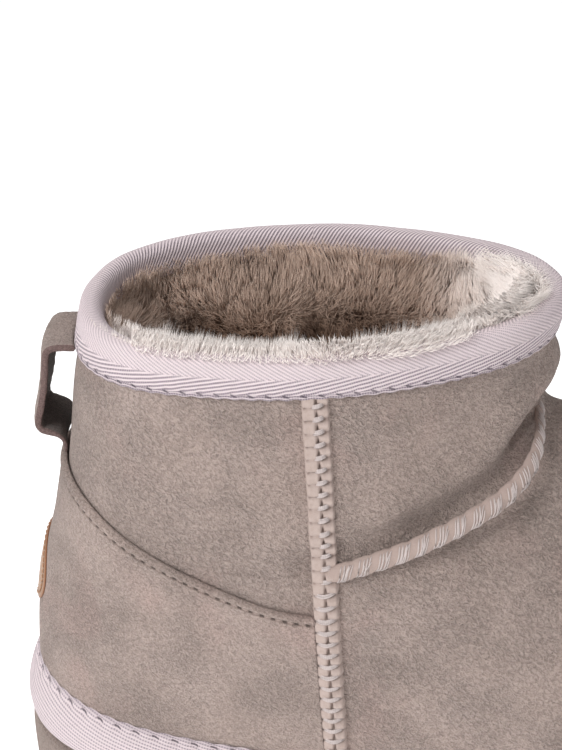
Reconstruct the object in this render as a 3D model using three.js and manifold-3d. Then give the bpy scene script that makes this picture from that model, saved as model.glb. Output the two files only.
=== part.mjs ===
// Lined sheepskin ankle boot for the right foot, on a suede-wrapped platform.
// Millimetres. +X runs to the toe, +Y to the inner side of the foot, +Z up.
// The origin is on the floor, under the middle of the boot's outline.

import * as THREE from 'three';
import { mergeVertices } from 'three/addons/utils/BufferGeometryUtils.js';
import Module from 'manifold-3d';

const wasm = await Module();
wasm.setup();

// ---------------------------------------------------------------- driving dimensions

const collarTop = 176.5;          // top edge of the shell, under its binding
const platformHeel = 42.5;         // height of the platform under the heel
const platformBall = 28;          // height of the platform under the ball
const platformSlope = { from: -112, to: 30 };   // where it comes down from heel to ball
const toeSpring = 8.5;            // how far the toe end of the sole lifts
const springStart = 65;           // where the sole starts to lift
const soleEnd = 138;              // front end of the sole
const archRise = 2.4;             // relief of the tread under the arch

const wallBody = 10;              // suede and wool together
const wallRim = 3.5;              // suede and shorn wool under the collar binding
const rimBand = { full: 156, thin: 166.5 };   // heights between which the wall thins

const gap = 0.3;                  // clearance between neighbouring pieces
const seamX = -42;                // the side seams stand at the middle of the ankle
const seamHalfWidth = 3.6;        // half of the band that covers a side seam
const seamRing = 0.7735;          // the ring that the instep seam follows
const seamDrop = 32;              // how far that ring falls from instep to side seam
const seamTurn = 81;              // degrees from the front over which it falls

const counterThickness = 1.5;
const counterGap = 0.9;           // its grid crosses the shell's facets, so it stands further off
const bindingReach = 9.8;         // outer leg of the collar binding
const bindingInside = 7.5;        // its inner leg
const soleBindingHeight = 13;
const heelBindingLift = 0.2;      // share by which it is taller at the middle of the heel
const weltReach = 6;              // how far the platform stands out from the shell

const treadDepth = 3;
const outsoleHeight = 9.5;

const strapThickness = 2;
const strapHalfWidth = 11.5;

const around = 56;                // points round each section

// ---------------------------------------------------------------- tables

// Front line of the shell: the foremost point of each ring, from the sole to the collar.
const frontLine = [
  { ring: 0, x: 133.8 }, { ring: 0.083, x: 135.3 }, { ring: 0.161, x: 134.4 },
  { ring: 0.22, x: 131.4 }, { ring: 0.27, x: 126.8 }, { ring: 0.345, x: 114.6 },
  { ring: 0.435, x: 92.5 }, { ring: 0.545, x: 67 }, { ring: 0.665, x: 42 }, { ring: 0.7476, x: 26 },
  { ring: 0.7735, x: 18.5 }, { ring: 0.811, x: 17 }, { ring: 0.887, x: 19.2 },
  { ring: 1, x: 23.3 },
];

// Back line of the shell: the heel's profile by height.
const backLine = [
  { z: 42.5, x: -134.4 }, { z: 57, x: -134.1 }, { z: 70, x: -133.2 }, { z: 81, x: -131.6 },
  { z: 94, x: -129.2 }, { z: 104, x: -126 }, { z: 114, x: -122.8 }, { z: 129, x: -119.3 },
  { z: 145, x: -117.2 }, { z: 160, x: -114.2 }, { z: 176.5, x: -110 },
];

// Half widths of the shell at stations from heel to toe, at the sole, halfway up and at the
// collar, there with the foot's inner side apart, and how far the middle of the sole outline
// bends to the inner side.
const widths = [
  { along: 0, sole: 68, ankle: 60, collar: 62, innerCollar: 62, bend: 0.5 },
  { along: 0.1, sole: 60, ankle: 57, collar: 56, innerCollar: 52.5, bend: 0.2 },
  { along: 0.2, sole: 49, ankle: 51.5, collar: 51.5, innerCollar: 49.8, bend: -0.3 },
  { along: 0.33, sole: 41.5, ankle: 46.5, collar: 47.3, innerCollar: 47, bend: -0.7 },
  { along: 0.5, sole: 42, ankle: 45, collar: 45.8, innerCollar: 45.8, bend: -1.5 },
  { along: 0.66, sole: 49.5, ankle: 46, collar: 43.7, innerCollar: 43.7, bend: -1 },
  { along: 0.8, sole: 57, ankle: 46, collar: 42.8, innerCollar: 42.8, bend: 2 },
  { along: 0.91, sole: 61, ankle: 46, collar: 44, innerCollar: 44, bend: 5 },
  { along: 1, sole: 66, ankle: 48, collar: 43, innerCollar: 43, bend: 6.5 },
];

// Top edge of the heel counter, from the middle of the heel to the side seam.
const counterEdge = [
  { x: -119.5, z: 131.2 }, { x: -116, z: 130.6 }, { x: -108.4, z: 127.4 },
  { x: -96.5, z: 120.3 }, { x: -84.6, z: 113.4 }, { x: -69.9, z: 105.9 },
  { x: -56, z: 101.4 }, { x: -40, z: 97.5 },
];

// Rings of the shell, from the sole to the collar.
const shellRings = [
  0, 0.05, 0.11, 0.17, 0.23, 0.29, 0.345, 0.39, 0.435, 0.49, 0.545, 0.605, 0.665, 0.71,
  0.7476, 0.7735, 0.8, 0.84, 0.887, 0.93, 0.955, 0.978, 1,
];

// Section of the collar binding: depth below the shell's edge, offset from its outside.
const bindingSection = [
  { depth: bindingReach, out: gap }, { depth: bindingReach, out: 1.4 },
  { depth: 6, out: 1.7 }, { depth: 1, out: 1.7 }, { depth: -0.9, out: 1.2 },
  { depth: -1.6, out: 0 }, { depth: -1.8, out: -wallRim / 2 }, { depth: -1.6, out: -wallRim },
  { depth: -0.9, out: -wallRim - 1.2 }, { depth: 1, out: -wallRim - 1.7 },
  { depth: bindingInside, out: -wallRim - 1.4 }, { depth: bindingInside, out: -wallRim - gap },
  { depth: -gap, out: -wallRim - gap }, { depth: -gap, out: gap },
];

// Section of the sole binding: height above the platform, offset from the shell.
const soleBindingSection = [
  { rise: gap, out: 2 * gap }, { rise: gap, out: 5 }, { rise: 2, out: weltReach },
  { rise: 5, out: weltReach }, { rise: 8.5, out: 4.9 }, { rise: 11.5, out: 3 },
  { rise: soleBindingHeight, out: 1.6 }, { rise: soleBindingHeight, out: 2 * gap },
];

// Side of the platform: share of its height, offset from the shell's foot.
const platformSection = [
  { share: 0, out: 4 }, { share: 0.06, out: 5 }, { share: 0.3, out: 5.8 },
  { share: 0.8, out: weltReach }, { share: 0.94, out: 5.5 }, { share: 1, out: 4.4 },
];

// Outer face of the pull loop in side view, from under the collar binding to the counter.
const strapPath = [
  { x: -113.9, z: 164.6 }, { x: -117.4, z: 164.6 }, { x: -120.6, z: 164.4 },
  { x: -122.6, z: 163.4 }, { x: -123.4, z: 161.4 }, { x: -123.9, z: 157 },
  { x: -124.4, z: 152 }, { x: -125.3, z: 146.5 }, { x: -126.4, z: 141.8 },
  { x: -126.4, z: 139.6 }, { x: -125.2, z: 137.9 }, { x: -123.4, z: 137.3 },
  { x: -121.9, z: 136.4 }, { x: -121.3, z: 134.4 }, { x: -121.6, z: 131.9 },
];

// Rows of tread lugs: middle of each row and its length along the foot.
const lugRows = {
  first: -124, step: 15.5, count: 17, length: 9.5,
  slant: 4, split: 7, inset: 3.5,
};

// ---------------------------------------------------------------- curves

/** Smooth monotone curve through the rows of a table, read by the named columns. */
function curve(rows, from, to) {
  const xs = rows.map((row) => row[from]);
  const ys = rows.map((row) => row[to]);
  const steps = xs.slice(1).map((x, i) => x - xs[i]);
  const slopes = steps.map((step, i) => (ys[i + 1] - ys[i]) / step);
  const tangents = xs.map((_, i) => {
    if (i === 0) return slopes[0];
    if (i === xs.length - 1) return slopes[i - 1];
    if (slopes[i - 1] * slopes[i] <= 0) return 0;
    const before = 2 * steps[i] + steps[i - 1];
    const after = steps[i] + 2 * steps[i - 1];
    return (before + after) / (before / slopes[i - 1] + after / slopes[i]);
  });
  return (value) => {
    const x = THREE.MathUtils.clamp(value, xs[0], xs[xs.length - 1]);
    let i = 0;
    while (i < steps.length - 1 && x > xs[i + 1]) i += 1;
    return hermite((x - xs[i]) / steps[i], ys[i], ys[i + 1],
      tangents[i] * steps[i], tangents[i + 1] * steps[i]);
  };
}

function hermite(t, start, end, startSlope, endSlope) {
  const t2 = t * t;
  const t3 = t2 * t;
  return (2 * t3 - 3 * t2 + 1) * start + (t3 - 2 * t2 + t) * startSlope
    + (3 * t2 - 2 * t3) * end + (t3 - t2) * endSlope;
}

/** Value in [low, high] where a rising or falling function crosses zero. */
function solve(low, high, difference) {
  let [a, b] = [low, high];
  const rising = difference(high) > difference(low);
  for (let i = 0; i < 40; i += 1) {
    const middle = (a + b) / 2;
    if ((difference(middle) > 0) === rising) b = middle;
    else a = middle;
  }
  return (a + b) / 2;
}

const frontX = curve(frontLine, 'ring', 'x');
const backX = curve(backLine, 'z', 'x');
const soleHalf = curve(widths, 'along', 'sole');
const ankleHalf = curve(widths, 'along', 'ankle');
const collarHalf = curve(widths, 'along', 'collar');
const innerCollarHalf = curve(widths, 'along', 'innerCollar');
const bend = curve(widths, 'along', 'bend');
const counterTop = curve(counterEdge, 'x', 'z');

/** Lift of the whole sole at x: toe spring only. */
function spring(x) {
  const t = Math.max(0, (x - springStart) / (soleEnd - springStart));
  return toeSpring * t * t;
}

/** Height of the platform's top at x. */
function platformTop(x) {
  const down = THREE.MathUtils.smoothstep(x, platformSlope.from, platformSlope.to);
  return THREE.MathUtils.lerp(platformHeel, platformBall, down) + spring(x);
}

/** Height of the tread's face at x. */
function treadFace(x) {
  const arch = Math.max(0, Math.sin(Math.PI * (x + 58) / 92)) * (x > -58 && x < 34);
  return archRise * arch * arch + spring(x);
}

/** Top of the outsole, which the platform stands on. */
function outsoleTop(x) {
  return outsoleHeight + spring(x);
}

// ---------------------------------------------------------------- the shell's surface

/** How far a ring lies below a level one, at the back and sides. */
function ringDrop(ring) {
  if (ring < seamRing) return seamDrop * (ring / seamRing) ** 2;
  return seamDrop * ((1 - ring) / (1 - seamRing)) ** 2;
}

/** Share of that drop at an angle: none at the front, all of it past the side seam. */
function dropShare(angle) {
  const turn = THREE.MathUtils.radToDeg(Math.abs(angle - Math.PI)) / seamTurn;
  const eased = Math.sqrt(turn * turn + 0.0036) - 0.06;
  return 0.5 * (eased + 1 - Math.sqrt((eased - 1) ** 2 + 0.0064));
}

/** Half width of the shell: a station along it, a share of its height there, and the side. */
function halfWidth(along, share, innerSide) {
  const [low, middle] = [soleHalf(along), ankleHalf(along)];
  const high = innerSide ? innerCollarHalf(along) : collarHalf(along);
  const [rise, fall] = [middle - low, high - middle];
  const slope = rise * fall > 0 ? (2 * rise * fall) / (rise + fall) : 0;
  const plain = share < 0.5
    ? hermite(share * 2, low, middle, rise, slope)
    : hermite(share * 2 - 1, middle, high, slope, fall);
  return plain * (1 + 0.03 * Math.sin(Math.PI * THREE.MathUtils.clamp(share / 0.4, 0, 1)));
}

/** Outer surface of the shell. The angle runs from heel to toe by the inner side, and back. */
function surface(ring, angle) {
  const along = (1 - Math.cos(angle)) / 2;
  const drop = ringDrop(ring);
  const back = backX(platformHeel * (1 - ring) + collarTop * ring - drop);
  const x = THREE.MathUtils.lerp(back, frontX(ring), along);
  const floor = platformTop(x);
  const z = floor * (1 - ring) + collarTop * ring - drop * dropShare(angle);
  const share = THREE.MathUtils.clamp((z - floor) / (collarTop - floor), 0, 1);
  const half = halfWidth(along, share, Math.sin(angle) > 0);
  const y = bend(along) * (1 - share) ** 1.2 + half * Math.sin(angle);
  return new THREE.Vector3(x, y, z);
}

/** Point at an offset from the shell's outside, outwards when positive. */
function shell(ring, angle, offset = 0) {
  const nudge = 1e-3;
  const low = Math.max(0, ring - nudge);
  const high = Math.min(1, ring + nudge);
  const up = surface(high, angle).sub(surface(low, angle));
  const round = surface(ring, angle + nudge).sub(surface(ring, angle - nudge));
  return surface(ring, angle).addScaledVector(up.cross(round).normalize(), offset);
}

function ringAtHeight(z, angle) {
  return solve(0, 1, (ring) => surface(ring, angle).z - z);
}

function ringAtRise(rise, angle) {
  return solve(0, 0.5, (ring) => {
    const point = surface(ring, angle);
    return point.z - platformTop(point.x) - rise;
  });
}

/** Angle, from the heel's middle, at which the shell passes x at height z. */
function angleAt(x, z) {
  return solve(0, Math.PI, (angle) => surface(ringAtHeight(z, angle), angle).x - x);
}

/** Thickness of suede and wool at height z. */
function wall(z) {
  return THREE.MathUtils.lerp(wallBody, wallRim,
    THREE.MathUtils.smoothstep(z, rimBand.full, rimBand.thin));
}

const angles = Array.from({ length: around }, (_, i) => (2 * Math.PI * i) / around);

// ---------------------------------------------------------------- meshes from rows of points

/** Closed mesh from points and triangles, with its faces pointing out. */
function closedGeometry(points, triangles) {
  let volume = 0;
  for (const [a, b, c] of triangles) {
    volume += points[a].dot(new THREE.Vector3().crossVectors(points[b], points[c]));
  }
  const turned = volume < 0 ? triangles.map(([a, b, c]) => [a, c, b]) : triangles;
  const geometry = new THREE.BufferGeometry();
  geometry.setAttribute('position',
    new THREE.Float32BufferAttribute(points.flatMap((p) => [p.x, p.y, p.z]), 3));
  geometry.setIndex(turned.flat());
  return geometry;
}

/** Triangles between rows of equal length; closedRow joins each row's end to its start. */
function bands(rowCount, rowLength, closedRow, closedRows) {
  const triangles = [];
  const lastRow = closedRows ? rowCount : rowCount - 1;
  const lastColumn = closedRow ? rowLength : rowLength - 1;
  for (let row = 0; row < lastRow; row += 1) {
    for (let column = 0; column < lastColumn; column += 1) {
      const a = row * rowLength + column;
      const b = row * rowLength + (column + 1) % rowLength;
      const c = ((row + 1) % rowCount) * rowLength + column;
      const d = ((row + 1) % rowCount) * rowLength + (column + 1) % rowLength;
      triangles.push([a, b, d], [a, d, c]);
    }
  }
  return triangles;
}

/** Ring-shaped solid: a section at every angle, each one a closed loop of points. */
function ringSolid(sections) {
  return closedGeometry(sections.flat(), bands(sections.length, sections[0].length, true, true));
}

/** Solid stacked from closed outlines, with ladder caps that join left to right. */
function stackedSolid(outlines) {
  const count = outlines[0].length;
  const triangles = bands(outlines.length, count, true, false);
  const cap = (base, flip) => {
    for (let i = 0; i < count / 2; i += 1) {
      const [left, leftNext] = [base + i, base + i + 1];
      const [right, rightNext] = [base + (count - i) % count, base + count - i - 1];
      for (const face of [[left, leftNext, rightNext], [left, rightNext, right]]) {
        if (new Set(face).size === 3) triangles.push(flip ? [...face].reverse() : face);
      }
    }
  };
  cap(0, true);
  cap((outlines.length - 1) * count, false);
  return closedGeometry(outlines.flat(), triangles);
}

/** Sheet with thickness: an outer and an inner grid of points, closed along its edges. */
function sheetSolid(outer, inner) {
  const [rows, columns] = [outer.length, outer[0].length];
  const size = rows * columns;
  const face = bands(rows, columns, false, false);
  const triangles = face.concat(face.map(([a, b, c]) => [size + a, size + c, size + b]));
  const edge = [];
  for (let c = 0; c < columns; c += 1) edge.push(c);
  for (let r = 1; r < rows; r += 1) edge.push(r * columns + columns - 1);
  for (let c = columns - 2; c >= 0; c -= 1) edge.push((rows - 1) * columns + c);
  for (let r = rows - 2; r > 0; r -= 1) edge.push(r * columns);
  edge.forEach((a, i) => {
    const b = edge[(i + 1) % edge.length];
    triangles.push([a, size + b, b], [a, size + a, size + b]);
  });
  return closedGeometry(outer.flat().concat(inner.flat()), triangles);
}

// ---------------------------------------------------------------- the pieces

function upperGeometry() {
  const seat = (point) => point.setZ(platformTop(point.x) + gap);
  const outside = shellRings.map((ring) => angles.map((angle) => shell(ring, angle)));
  const inside = shellRings.map((ring) => angles.map(
    (angle) => shell(ring, angle, -wall(surface(ring, angle).z))));
  outside[0].forEach(seat);
  inside[0].forEach(seat);
  inside[inside.length - 1].forEach((point) => point.setZ(collarTop));
  const loops = [...outside, ...inside.reverse()];
  return closedGeometry(loops.flat(), bands(loops.length, around, true, true));
}

function collarBindingGeometry() {
  const point = ({ depth, out }, angle) => {
    if (depth <= 0) return shell(1, angle, out).setZ(collarTop - depth);
    return shell(ringAtHeight(collarTop - depth, angle), angle, out).setZ(collarTop - depth);
  };
  return ringSolid(angles.map((angle) => bindingSection.map((row) => point(row, angle))));
}

/** The sole binding stands a little higher round the heel. */
function bindingRise(rise, angle) {
  const turn = Math.min(angle, 2 * Math.PI - angle, Math.PI / 3);
  return rise * (1 + heelBindingLift * Math.cos(1.5 * turn) ** 2);
}

function soleBindingGeometry() {
  const point = ({ rise, out }, angle) => {
    const height = rise > gap ? bindingRise(rise, angle) : gap;
    const place = shell(ringAtRise(height, angle), angle, out);
    return place.setZ(platformTop(place.x) + height);
  };
  return ringSolid(angles.map((angle) => soleBindingSection.map((row) => point(row, angle))));
}

function heelCounterGeometry() {
  const columns = 25;
  const rows = 7;
  const side = seamX - seamHalfWidth - gap;
  const place = (z, share, offset) => {
    const angle = share * angleAt(side, z);
    return shell(ringAtHeight(z, angle), angle, offset);
  };
  const shares = Array.from({ length: columns }, (_, i) => (2 * i) / (columns - 1) - 1);
  const tops = shares.map((share) => solve(60, 134, (z) => z - counterTop(place(z, share, 0).x)));
  const foot = (share) => solve(45, 75, (z) => {
    const rise = bindingRise(soleBindingHeight, Math.abs(share) * angleAt(side, z)) + 2 * gap;
    return z - platformTop(place(z, share, 0).x) - rise;
  });
  const feet = shares.map(foot);
  const grid = (offset) => Array.from({ length: rows }, (_, row) => shares.map((share, i) => (
    place(THREE.MathUtils.lerp(feet[i], tops[i], row / (rows - 1)), share, offset))));
  return sheetSolid(grid(counterGap + counterThickness), grid(counterGap));
}

function pullLoopGeometry() {
  const spread = [-1, -0.5, 0, 0.5, 1].map((share) => share * strapHalfWidth);
  const heelRadius = 59;
  const path = strapPath.map(({ x, z }) => new THREE.Vector2(x, z));
  const inward = path.map((point, i) => {
    const before = path[Math.max(0, i - 1)];
    const after = path[Math.min(path.length - 1, i + 1)];
    const along = after.clone().sub(before).normalize();
    return new THREE.Vector2(-along.y, along.x);
  });
  const grid = (depth) => path.map((point, i) => spread.map((y) => {
    const place = point.clone().addScaledVector(inward[i], depth);
    return new THREE.Vector3(place.x + (y * y) / (2 * heelRadius), y, place.y);
  }));
  return sheetSolid(grid(0), grid(strapThickness));
}

/** Outline round the shell's foot, at an offset and at a height given by its x. */
function footOutline(offset, height) {
  return angles.map((angle) => {
    const point = shell(0, angle, offset);
    return point.setZ(height(point.x));
  });
}

function midsoleGeometry() {
  return stackedSolid(platformSection.map(({ share, out }) => footOutline(out,
    (x) => THREE.MathUtils.lerp(outsoleTop(x) + gap, platformTop(x), share))));
}

function insoleGeometry() {
  const offset = -wallBody - 2 * gap;
  return stackedSolid([gap, 5.5, 6.5].map((rise, i) => footOutline(offset - (i === 2 ? 1 : 0),
    (x) => platformTop(x) + rise)));
}

function toManifold(geometry) {
  const plain = geometry.clone();
  plain.deleteAttribute('normal');
  plain.deleteAttribute('uv');
  const merged = mergeVertices(plain);
  return new wasm.Manifold(new wasm.Mesh({
    numProp: 3,
    vertProperties: new Float32Array(merged.attributes.position.array),
    triVerts: new Uint32Array(merged.index.array),
  }));
}

function fromManifold(solid) {
  const mesh = solid.getMesh();
  const geometry = new THREE.BufferGeometry();
  geometry.setAttribute('position', new THREE.BufferAttribute(mesh.vertProperties, 3));
  geometry.setIndex(new THREE.BufferAttribute(mesh.triVerts, 1));
  return geometry;
}

/** One slanted lug from the middle groove outwards; its foot follows the tread's face. */
function lugGeometry(x, side) {
  const reach = 60;
  const geometry = new THREE.BoxGeometry(lugRows.length, reach, 1);
  const position = geometry.attributes.position;
  for (let i = 0; i < position.count; i += 1) {
    const share = (position.getY(i) + reach / 2) / reach;
    const px = x + position.getX(i) - share * lugRows.slant * (reach / 20);
    const py = side * (lugRows.split / 2 + share * reach);
    const pz = position.getZ(i) < 0 ? treadFace(x) : treadFace(px) + treadDepth + 1;
    position.setXYZ(i, px, py, pz);
  }
  if (side < 0) geometry.setIndex([...geometry.index.array].reverse());
  return geometry;
}

function outsoleGeometry() {
  const edge = 5.2;
  const slab = toManifold(stackedSolid([
    footOutline(edge - 0.8, (x) => treadFace(x) + treadDepth),
    footOutline(edge, (x) => treadFace(x) + treadDepth + 1),
    footOutline(edge, (x) => outsoleTop(x)),
  ]));
  const inside = toManifold(stackedSolid([
    footOutline(edge - lugRows.inset, () => -5),
    footOutline(edge - lugRows.inset, () => 40),
  ]));
  let tread = slab;
  for (let row = 0; row < lugRows.count; row += 1) {
    const x = lugRows.first + row * lugRows.step;
    for (const side of [-1, 1]) {
      tread = tread.add(toManifold(lugGeometry(x, side)).intersect(inside));
    }
  }
  return fromManifold(tread);
}

// ---------------------------------------------------------------- materials and the boot

const finishes = {
  suede: { color: 0xb2a69e, roughness: 0.95, metalness: 0 },
  tape: { color: 0xcdc6cb, roughness: 0.85, metalness: 0 },
  wrap: { color: 0xa89c94, roughness: 0.95, metalness: 0 },
  rubber: { color: 0x8f857d, roughness: 0.8, metalness: 0 },
  wool: { color: 0xb5aa9e, roughness: 1, metalness: 0 },
};

function piece(name, finish, geometry) {
  geometry.computeVertexNormals();
  const material = new THREE.MeshStandardMaterial({ name: finish, ...finishes[finish] });
  const mesh = new THREE.Mesh(geometry, material);
  mesh.name = name;
  return mesh;
}

const boot = new THREE.Group();
boot.add(
  piece('upper', 'suede', upperGeometry()),
  piece('collar_binding', 'tape', collarBindingGeometry()),
  piece('heel_counter', 'suede', heelCounterGeometry()),
  piece('pull_loop', 'suede', pullLoopGeometry()),
  piece('sole_binding', 'tape', soleBindingGeometry()),
  piece('midsole', 'wrap', midsoleGeometry()),
  piece('outsole', 'rubber', outsoleGeometry()),
  piece('insole', 'wool', insoleGeometry()),
);

export default boot;
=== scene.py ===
"""Looks of the lined sheepskin ankle boot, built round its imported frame.

Metres. +X runs to the toe, +Y to the inner side of the right foot, +Z up.
"""

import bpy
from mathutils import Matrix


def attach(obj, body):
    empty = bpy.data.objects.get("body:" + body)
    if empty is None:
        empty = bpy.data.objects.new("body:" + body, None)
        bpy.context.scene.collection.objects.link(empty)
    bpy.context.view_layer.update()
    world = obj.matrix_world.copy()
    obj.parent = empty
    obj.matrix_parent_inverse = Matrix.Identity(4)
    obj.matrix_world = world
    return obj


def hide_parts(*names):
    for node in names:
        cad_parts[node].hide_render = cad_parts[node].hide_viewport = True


bl_info = {
    "name": "Sheepskin ankle boot",
    "version": (1, 0, 0),
    "blender": (4, 5, 0),
    "location": "View3D > Sidebar > Boot",
    "description": "Suede, tapes, seams, badge and wool pile of a lined ankle boot",
    "category": "Add Mesh",
}

import math
import random

import bpy
from mathutils import Matrix, Vector, noise
from mathutils.bvhtree import BVHTree

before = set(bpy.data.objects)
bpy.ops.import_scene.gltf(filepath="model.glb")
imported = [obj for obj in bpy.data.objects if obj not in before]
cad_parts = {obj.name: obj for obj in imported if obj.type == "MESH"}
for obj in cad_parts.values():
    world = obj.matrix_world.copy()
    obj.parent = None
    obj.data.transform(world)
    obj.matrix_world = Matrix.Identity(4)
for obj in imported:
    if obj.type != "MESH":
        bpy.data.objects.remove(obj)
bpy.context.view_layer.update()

MM = 0.001
SEAM_X = -0.042         # the side seams
COLLAR_TOP = 0.1765     # edge of the upper at the collar
SEAM_TOP = COLLAR_TOP - 8.5 * MM    # top of the side seams, under the collar tape
JUNCTION_Z = 0.112      # where the instep seam meets the side seams
COLLAR_AXIS = Vector((-0.045, 0.0, 0.0))
HEEL_AXIS = Vector((-0.062, 0.0, 0.0))
SOLE_AXIS = Vector((0.0, 0.0, 0.0))
OUTER = -1      # the side of the boot away from the other foot
INNER = 1


def linear(code):
    """Linear colour of a 0xRRGGBB code."""
    parts = [(code >> shift & 255) / 255 for shift in (16, 8, 0)]
    return tuple(c / 12.92 if c < 0.04045 else ((c + 0.055) / 1.055) ** 2.4 for c in parts)


def toned(tint, share):
    """A colour made darker, or paler for a share above 1."""
    return tuple(min(1.0, part * share) for part in tint)


# ---------------------------------------------------------------- sizes and colours


def length(name, description, default):
    return bpy.props.FloatProperty(
        name=name, description=description, default=default, min=0.0, subtype="DISTANCE", unit="LENGTH"
    )


def colour(name, description, code):
    return bpy.props.FloatVectorProperty(
        name=name, description=description, default=linear(code), size=3, min=0.0, max=1.0, subtype="COLOR"
    )


class BootColours(bpy.types.PropertyGroup):
    suede: colour("Suede", "Nap of the upper", 0xBCA9A1)
    suede_shade: colour("Suede shade", "Nap brushed the other way", 0xAE9B92)
    suede_blush: colour("Suede blush", "Pinkish patches of the dye", 0xC0A49C)
    wrap: colour("Platform wrap", "Suede round the platform", 0xB09D93)
    tape: colour("Tape", "Raised yarns of the woven tapes", 0xDCCDD0)
    tape_shade: colour("Tape shade", "Gaps between the yarns", 0x6E6170)
    thread: colour("Thread", "Seam threads", 0xDFD2CF)
    # Painted shade in the side seam's slit, notches and gaps between its lobes.
    hole_shade_colour: colour("Needle hole", "Bottoms of holes and slits", 0x6A5752)
    wool_tip: colour("Wool tips", "Combed ends of the pile", 0xFFF6F1)
    # Painted shade: pile ends away from the outer side and the front lie deeper in the boot and get this
    # darker colour.
    wool_far_shade: colour("Wool ends in shade", "Pile ends away from the outer side and the front", 0xCDB6A7)
    # Brown of the wool near the roots, also used as painted shade lower down inside the boot.
    wool_root_and_shade: colour("Wool depth", "Pile near the skin", 0x9C785F)
    strap_edge: colour("Loop edge", "Cut edge of the pull loop", 0x8E7773)
    strap_back: colour("Loop lining", "Rough inside of the pull loop", 0x776B66)
    badge: colour("Badge", "Leather of the heel badge", 0xB08A6E)
    badge_edge: colour("Badge edge", "Burnished edge of the badge", 0x8A5A38)
    rubber: colour("Outsole", "Moulded outsole", 0x9C8F86)


class BootSeams(bpy.types.PropertyGroup):
    side_pitch: length("Side pitch", "Length of one stitch of the side seam", 3.9 * MM)
    side_width: length("Side width", "Width of the side seam", 7.3 * MM)
    ridge_pitch: length("Ridge pitch", "Distance between wraps of the instep seam", 5.6 * MM)
    ridge_width: length("Ridge width", "Width of the instep seam", 5.4 * MM)
    counter_pitch: length("Counter pitch", "Stitch of the heel counter", 3.3 * MM)
    counter_inset: length("Counter inset", "Stitch row below the counter's edge", 2.5 * MM)


class BootTapes(bpy.types.PropertyGroup):
    collar_pitch: length("Collar pitch", "Stitch of the collar tape", 4.6 * MM)
    sole_pitch: length("Sole pitch", "Stitch of the sole tape", 5.7 * MM)
    collar_step: length("Collar cell", "Cell of the collar tape's mesh", 0.62 * MM)
    sole_step: length("Sole cell", "Cell of the sole tape's mesh", 0.8 * MM)


class BootWool(bpy.types.PropertyGroup):
    pile: length("Pile", "Length of the wool below the collar", 8.5 * MM)
    strand: length("Strand", "Half thickness of a wisp", 0.105 * MM)
    lock: length("Lock", "Spacing of the locks that the wool gathers in", 6.0 * MM)
    collar_count: bpy.props.FloatProperty(
        name="Wisps at the collar", description="Wisps per square millimetre in sight", default=5.0, min=0.1
    )
    deep_count: bpy.props.FloatProperty(
        name="Wisps below", description="Wisps per square millimetre further down", default=0.42, min=0.05
    )


# ---------------------------------------------------------------- shader maths


class Reading:
    """A number read from a socket; arithmetic on it adds Math nodes."""

    def __init__(self, finish, socket):
        self.finish, self.socket = finish, socket

    def math(self, operation, *others):
        inputs = dict(enumerate((self, *others)))
        return self.finish.add("ShaderNodeMath", {"operation": operation}, inputs)

    def __add__(self, other):
        return self.math("ADD", other)

    def __sub__(self, other):
        return self.math("SUBTRACT", other)

    def __rsub__(self, other):
        return self.math("MULTIPLY_ADD", -1.0, other)

    def __mul__(self, other):
        return self.math("MULTIPLY", other)

    def __truediv__(self, other):
        return self.math("DIVIDE", other)

    __radd__ = __add__
    __rmul__ = __mul__

    def wave(self):
        """0 to 1 and back once for each whole number."""
        return (self * (2 * math.pi)).math("COSINE") * 0.5 + 0.5

    def ramp(self, low, high):
        """Smooth 0 to 1 between two values."""
        settings = {"interpolation_type": "SMOOTHSTEP"}
        inputs = {"Value": self, "From Min": low, "From Max": high}
        return self.finish.add("ShaderNodeMapRange", settings, inputs)


class Finish:
    """A node material: its Principled shader, coordinates and helpers."""

    def __init__(self, name, roughness=0.9, **constants):
        self.material = bpy.data.materials.new(name)
        self.material.use_nodes = True
        self.tree = self.material.node_tree
        self.shader = self.tree.nodes["Principled BSDF"]
        self.shader.inputs["Roughness"].default_value = roughness
        for socket, value in constants.items():
            self.shader.inputs[socket.replace("_", " ")].default_value = value

    def add(self, kind, settings=None, inputs=None, output=0):
        """New node: its settings first, then its sockets' values or links; gives its output."""
        node = self.tree.nodes.new(kind)
        for key, value in (settings or {}).items():
            setattr(node, key, value)
        for key, value in (inputs or {}).items():
            if isinstance(value, Reading):
                self.tree.links.new(value.socket, node.inputs[key])
            else:
                node.inputs[key].default_value = value
        return Reading(self, node.outputs[output])

    def place(self):
        return self.add("ShaderNodeTexCoord", output="Object")

    def axes(self, coordinates):
        """The three numbers of a coordinate."""
        split = self.add("ShaderNodeSeparateXYZ", inputs={0: coordinates})
        return [Reading(self, socket) for socket in split.socket.node.outputs]

    def cloth(self):
        """The piece's two UV numbers: on a tape, a row or a thread, metres along it and across."""
        return self.axes(self.add("ShaderNodeUVMap"))[:2]

    def turned(self, turn, stretch=(1, 1, 1)):
        inputs = {"Vector": self.place(), "Rotation": turn, "Scale": stretch}
        return self.add("ShaderNodeMapping", {"vector_type": "TEXTURE"}, inputs)

    def noise(self, scale, detail=2.0, rough=0.5, distort=0.0, at=None):
        inputs = {"Vector": at or self.place(), "Scale": scale, "Detail": detail,
                  "Roughness": rough, "Distortion": distort}
        return self.add("ShaderNodeTexNoise", inputs=inputs)

    def mix(self, share, first, second):
        """Colour between two colours."""
        first, second = (c if isinstance(c, Reading) else (*c[:3], 1.0) for c in (first, second))
        return self.add("ShaderNodeMix", {"data_type": "RGBA"}, {0: share, 6: first, 7: second}, output=2)

    def bump(self, relief, depth, strength=1.0):
        inputs = {"Strength": strength, "Distance": depth, "Height": relief}
        self.feed("Normal", self.add("ShaderNodeBump", inputs=inputs))

    def feed(self, socket, value):
        self.tree.links.new(value.socket, self.shader.inputs[socket])


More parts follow.
